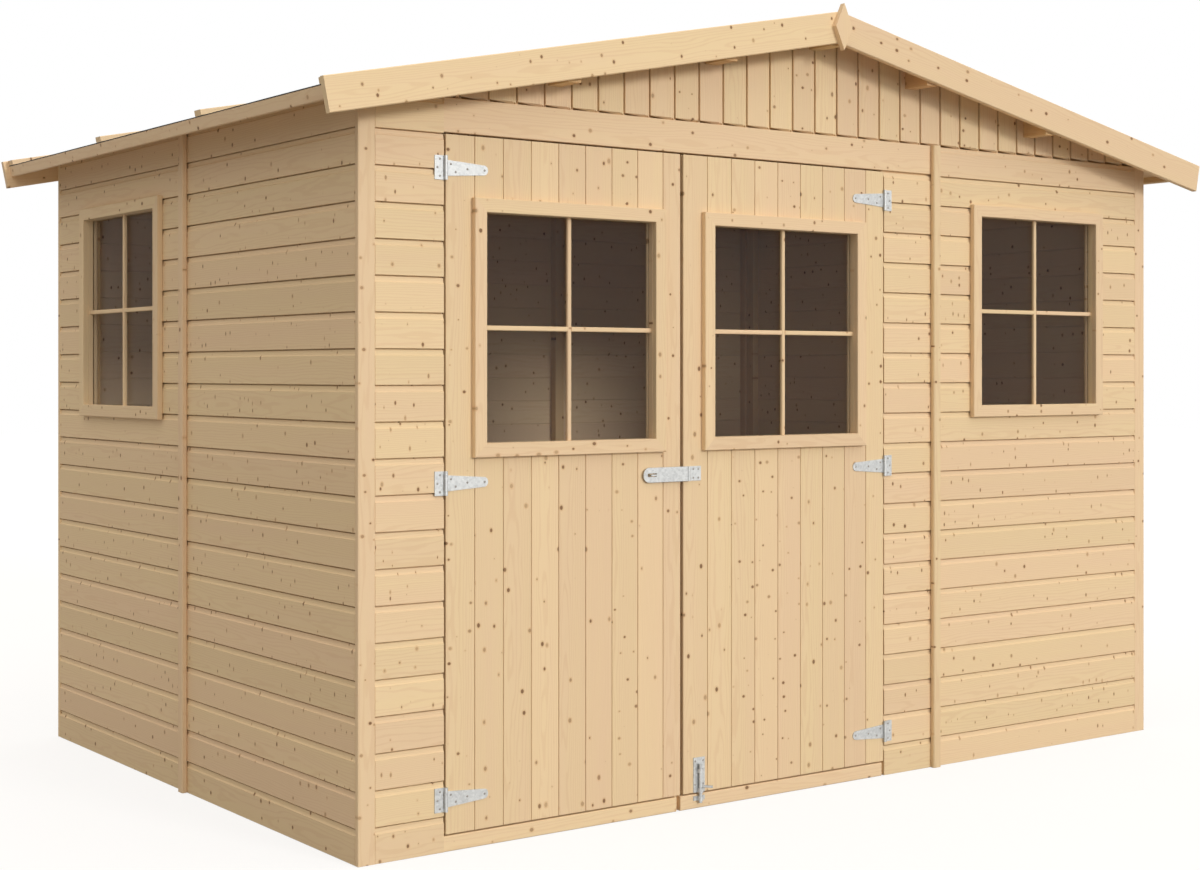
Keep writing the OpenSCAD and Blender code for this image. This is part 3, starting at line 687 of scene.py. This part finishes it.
def window(body, name, glass_low, glass_high, axis, nodes):
    """Casing boards, a lining, glazing bars and inner beads round one opening."""
    along, inward = (X, Y) if axis == 0 else (Y, X)
    low_a, high_a, low_z, high_z = opening(glass_low, glass_high, axis)
    half_a, half_z = (high_a - low_a) / 2, (high_z - low_z) / 2
    middle = along * ((low_a + high_a) / 2) + Z * ((low_z + high_z) / 2)
    glass_face = glass_low[1 - axis]
    casing, bars = Timber(), Timber()
    rings = ((casing, glass_face - BOARD_T - CASING_T, plank_profile(CASING_W, CASING_T, ARRIS_EASED)),
             (bars, glass_face - BOARD_T, plank_profile(LINING, BOARD_T, ARRIS_FINE)),
             (bars, glass_face + GLASS_T, plank_profile(BEAD_W, BEAD_W, ARRIS_ROUND)))
    for turn, across, reach, span in ((along, Z, half_z, half_a), (Z, along, half_a, half_z)):
        for sign in (-1, 1):
            for timber, face, profile in rings:
                spot = middle + inward * face + across * (sign * reach)
                timber.board(spot, turn, across * sign, inward, profile,
                             lambda w, d, span=span: -span - w, lambda w, d, span=span: span + w)
    bar_face = inward * (glass_face - BAR_D)
    bar = plank_profile(BAR_W, BAR_D, ARRIS_SOFT)
    bars.board(middle + bar_face - along * (BAR_W / 2), Z, along, inward, bar, -half_z, half_z)
    for sign in (-1, 1):
        spot = middle + bar_face - Z * (BAR_W / 2)
        bars.board(spot, along * sign, Z, inward, bar, BAR_W / 2, half_a)
    casing.make(name + "_casing", body, "pine", *nodes)
    bars.make(name + "_bars", body, "pine")


window("shed", "front_window", *front_glass, 0, ["wall_window_casings"])
window("shed", "left_window", *left_glass, 1, [])


# Door leaves

def leaf_boards(low, high, hole):
    """Upright boards of one leaf, cut through for its window."""
    boards = Timber()
    x = low[0]
    while x < high[0] - LAST_STRIP:
        width = LEAF_PITCH
        profile = vee_profile(LEAF_PITCH)
        if x + LEAF_PITCH >= high[0] - LAST_STRIP:
            width = high[0] - x
            profile = clipped(profile, 0, width)
        if x == low[0]:
            profile = clipped(profile, LEAF_TRIM, FAR)
        spot = Vector((x, low[1], 0))
        left_in, right_in = hole[0] - x, hole[1] - x
        if right_in <= 0 or left_in >= width:
            boards.board(spot, Z, X, Y, profile, low[2], high[2])
        else:
            look = new_look()
            inner = clipped(profile, max(left_in, 0), right_in)
            boards.board(spot, Z, X, Y, inner, low[2], hole[2], look)
            boards.board(spot, Z, X, Y, inner, hole[3], high[2], look)
            if left_in > NARROWEST:
                boards.board(spot, Z, X, Y, clipped(profile, 0, left_in), low[2], high[2], look)
            if right_in < width - NARROWEST:
                boards.board(spot, Z, X, Y, clipped(profile, right_in, FAR), low[2], high[2], look)
        x += width
    return boards


def leaf_back(word):
    """Ledges of one leaf, and a brace that rises from its hinges."""
    back = Timber()
    solids = islands(word + "_door_ledges")
    ledges = [pair for pair in solids if pair[1].z - pair[0].z < BRACE_MIN_H]
    for ledge_low, ledge_high in ledges:
        box_plank(back, ledge_low, ledge_high, ARRIS_ROUND)
    brace_low, brace_high = next(pair for pair in solids if pair[1].z - pair[0].z > BRACE_MIN_H)
    width = ledges[0][1].z - ledges[0][0].z
    rise = brace_high.z - brace_low.z
    lean = (brace_high.x - brace_low.x - width) / rise * (1 if word == "left" else -1)
    foot = brace_low.x if word == "left" else brace_high.x - width
    back.board(Vector((foot, brace_low.y, brace_low.z)), Z + X * lean, X, Y,
               plank_profile(width, brace_high.y - brace_low.y, ARRIS_ROUND), 0.0, rise)
    return back


def leaf(word):
    body = word + "_leaf"
    low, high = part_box(word + "_door_boards")
    glass_low, glass_high = (Vector(corner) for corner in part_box(word + "_door_glass"))
    boards = leaf_boards(low, high, cut_out(glass_low, glass_high, 0))
    boards.make(word + "_door_boards", body, "pine", word + "_door_boards")
    window(body, word + "_door_window", glass_low, glass_high, 0, [word + "_door_casing"])
    back = leaf_back(word)
    back.make(word + "_door_ledges", body, "frame_timber", word + "_door_ledges", material=FRAME_PINE)


leaf("left")
leaf("right")


# Felt, in two lapped courses on each slope

def felt_course(points, faces, side, start, stop, lift):
    """A sheet of felt from one height of a slope to another, slightly uneven on its top."""
    down, out = slope_axes(side)
    rows, columns = 10, 60
    first = len(points)
    for layer in (0, 1):
        for row in range(rows + 1):
            s = start + (stop - start) * row / rows
            for column in range(columns + 1):
                y = DECK_Y[0] + (DECK_Y[1] - DECK_Y[0]) * column / columns
                wave = math.sin(7.1 * y + 3 * s) * math.sin(11.3 * s + 2 * y + side)
                uneven = layer * FELT_UNEVEN * (1 + wave)
                points.append(RIDGE + down * s + out * (DECK_T + lift + layer * FELT_T + uneven) + Y * y)
    wide, sheet = columns + 1, (rows + 1) * (columns + 1)

    def at(layer, row, column):
        return first + layer * sheet + row * wide + column
    for row in range(rows):
        for column in range(columns):
            for layer in (0, 1):
                faces.append((at(layer, row, column), at(layer, row + 1, column),
                              at(layer, row + 1, column + 1), at(layer, row, column + 1)))
    rim = ([(0, c) for c in range(columns)] + [(r, columns) for r in range(rows)]
           + [(rows, c) for c in range(columns, 0, -1)] + [(r, 0) for r in range(rows, 0, -1)])
    for a, b in zip(rim, rim[1:] + rim[:1]):
        faces.append((at(0, *a), at(0, *b), at(1, *b), at(1, *a)))


felt_points, felt_faces = [], []
for side in (-1, 1):
    felt_course(felt_points, felt_faces, side, FELT_LAP[0], DECK_END + STRIP_T, 0.0)
    felt_course(felt_points, felt_faces, side, FELT_TOP, FELT_LAP[1], FELT_LIFT)
add_piece("roofing_felt", "shed", FELT, felt_points, felt_faces, ["roof_felt"])


# Glass and ironwork keep their CAD shapes

def finish(node, material, bevel=0.0):
    """A material, and small bevels where asked, for a CAD node."""
    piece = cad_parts[node]
    for holder in piece.material_slots:
        holder.material = material
    if bevel:
        rounding = piece.modifiers.new("edge", "BEVEL")
        rounding.width = bevel
        rounding.segments = 2
        rounding.limit_method = "ANGLE"


for node in ("wall_window_glass", "left_door_glass", "right_door_glass"):
    finish(node, GLASS)
for node in ("hinge_plates", "left_hinge_straps", "right_hinge_straps", "hasp_plate", "hasp_strap",
             "hasp_staple", "bolt_plate", "bolt_rod", "bolt_keeper"):
    finish(node, ZINC, IRON_EDGE)


# Screws

def screw_heads(name, body, spots):
    """Domed heads with a cross recess, on faces that look along -Y."""
    turns = 16
    dome = ((1.0, 0.0), (0.97, 0.35), (0.80, 0.72), (0.50, 0.95))
    points, faces = [], []

    def around(spot, step, share, rise):
        angle = 2 * math.pi * step / turns
        return spot + Vector((math.cos(angle) * share * SCREW_R, -rise * SCREW_H,
                              math.sin(angle) * share * SCREW_R))
    for spot in spots:
        first = len(points)
        for share, rise in dome:
            points += [around(spot, i, share, rise) for i in range(turns)]
        for ring in range(len(dome) - 1):
            for i in range(turns):
                a, b = first + ring * turns + i, first + ring * turns + (i + 1) % turns
                faces.append((a, b, b + turns, a + turns))
        crown = first + (len(dome) - 1) * turns
        sink = len(points)
        for i in range(turns):
            reach, deep = (0.40, 0.55) if i % 4 == 0 else (0.14, 0.92)
            points.append(around(spot, i, reach, deep))
        points.append(spot + Vector((0, -0.2 * SCREW_H, 0)))
        for i in range(turns):
            j = (i + 1) % turns
            faces.append((crown + i, crown + j, sink + j, sink + i))
            faces.append((sink + i, sink + j, len(points) - 1))
        faces.append(tuple(first + i for i in range(turns)))
    add_piece(name, body, STEEL, points, faces)


def hinge_screws(word):
    """Places of the screws in the wall plates and the straps of one leaf's hinges."""
    outer, sign = (0, 1) if word == "left" else (1, -1)
    leaf_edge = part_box(word + "_door_boards")[outer][0]
    plates, straps = [], []
    for solid in islands("hinge_plates"):
        low, high = solid
        if abs((low.x + high.x) / 2 - leaf_edge) > HINGE_NEAR:
            continue
        for share, level in PLATE_SCREWS:
            x = solid[outer].x + sign * share * HINGE_PLATE_W
            plates.append(Vector((x, PLATE_FACE, low.z + level * (high.z - low.z))))
    for solid in islands(word + "_hinge_straps"):
        low, high = solid
        for share, rise in STRAP_SCREWS:
            x = solid[outer].x + sign * share * (high.x - low.x)
            straps.append(Vector((x, PLATE_FACE, (low.z + high.z) / 2 + rise)))
    return plates, straps


left_plates, left_straps = hinge_screws("left")
right_plates, right_straps = hinge_screws("right")
screw_heads("hinge_plate_screws", "shed", left_plates + right_plates)
screw_heads("left_strap_screws", "left_leaf", left_straps)
hasp_low, hasp_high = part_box("hasp_plate")
bolt_low, bolt_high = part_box("bolt_plate")
hasp_z = (hasp_low[2] + hasp_high[2]) / 2
fixing = [Vector((hasp_high[0] - inset, PLATE_FACE, hasp_z + rise))
          for inset in HASP_INSETS for rise in HASP_RISES]
fixing += [Vector((x, PLATE_FACE, z)) for x in (bolt_low[0] + BOLT_INSET, bolt_high[0] - BOLT_INSET)
           for z in (bolt_low[2] + BOLT_FOOT, bolt_high[2] - BOLT_HEAD)]
screw_heads("right_leaf_screws", "right_leaf", right_straps + fixing)


# Floor, light and camera

def studio_floor():
    """A pale floor, white where it is seen in the open, that keeps the shed's shadow."""
    ground = bpy.data.meshes.new("studio_floor")
    corners = [(x * GROUND_REACH, y * GROUND_REACH, GROUND_Z)
               for x, y in ((-1, -1), (1, -1), (1, 1), (-1, 1))]
    ground.from_pydata(corners, [], [(0, 1, 2, 3)])
    n = Nodes(bpy.data.materials.new("studio_floor"))
    n.surface({"Base Color": n.mix(n.noise(n.place(), 0.8), *GROUND_GREYS),
               "Roughness": 1.0,
               "Specular IOR Level": 0.0,
               "Emission Color": WHITE,
               "Emission Strength": n.times(n.seen(), GROUND_GLOW)})
    ground.materials.append(n.owner)
    stage = bpy.data.objects.new("studio_floor", ground)
    bpy.context.collection.objects.link(stage)


def studio_light():
    """A sky that is brighter above, white where it is seen, and two soft lamps before the doors."""
    world = bpy.data.worlds.new("studio")
    bpy.context.scene.world = world
    n = Nodes(world, "Background")
    seen = n.seen()
    height = n.split(n.new("ShaderNodeTexCoord").outputs["Generated"])[2]
    level = n.new("ShaderNodeMix", data_type="FLOAT")
    n.put(level.inputs[0], seen)
    n.put(level.inputs[2], n.ramp(height, SKY_FROM, 1.0, *SKY_LEVELS, kind="LINEAR"))
    n.put(level.inputs[3], 1.0)
    n.surface({"Strength": level.outputs[0], "Color": n.mix(seen, SKY_COLOUR, WHITE)})
    for name, strength, spread, direction in LAMPS:
        lamp = bpy.data.lights.new(name, "SUN")
        lamp.energy = strength
        lamp.angle = math.radians(spread)
        lamp.color = LAMP_COLOUR
        holder = bpy.data.objects.new(name, lamp)
        bpy.context.collection.objects.link(holder)
        holder.rotation_euler = Vector(direction).to_track_quat("-Z", "Y").to_euler()


def photo_camera():
    lens = bpy.data.cameras.new("photo_camera")
    lens.sensor_width = SENSOR_W
    lens.lens = PHOTO_FOCAL / PHOTO_W * SENSOR_W
    lens.shift_x = (PHOTO_W / 2 - PHOTO_CENTRE[0]) / PHOTO_W
    lens.shift_y = (PHOTO_CENTRE[1] - PHOTO_H / 2) / PHOTO_W
    lens.clip_end = 200
    camera = bpy.data.objects.new("photo_camera", lens)
    bpy.context.collection.objects.link(camera)
    camera.location = EYE
    camera.rotation_euler = (math.radians(90), 0, math.radians(HEADING))
    bpy.context.scene.camera = camera


studio_floor()
studio_light()
photo_camera()
bpy.context.scene.view_settings.view_transform = "Standard"
